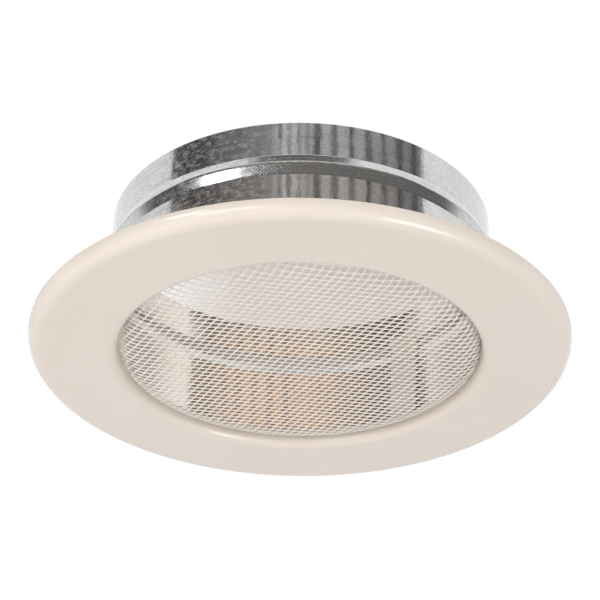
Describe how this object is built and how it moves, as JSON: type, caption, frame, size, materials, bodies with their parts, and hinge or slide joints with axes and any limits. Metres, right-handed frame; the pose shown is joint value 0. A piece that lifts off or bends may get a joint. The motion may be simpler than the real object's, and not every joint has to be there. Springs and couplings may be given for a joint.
{
  "type": "round air outlet vent",
  "caption": "Round ceiling or wall air outlet: cream pressed face ring with an expanded-metal screen and a ribbed galvanised spigot collar for a round duct.",
  "frame": {"origin": "centre of the flat face, at its front plane", "axes": "+Z along the collar's axis, from the face into the duct; +Y away from the picture's camera"},
  "size_m": [0.1724, 0.1724, 0.0488],
  "materials": {
    "cream_coat": "satin cream powder coat on pressed steel",
    "cream_mesh": "cream powder coat on expanded steel mesh",
    "galvanised": "bright galvanised sheet with faint spangle",
    "cream_tab": "satin cream powder coat on steel strip"
  },
  "bodies": {
    "root": {"face_ring": "cream_coat", "mesh_screen": "cream_mesh", "collar": "galvanised", "spring_tab_1": "cream_tab", "spring_tab_2": "cream_tab", "spring_tab_3": "cream_tab"}
  },
  "joints": []
}
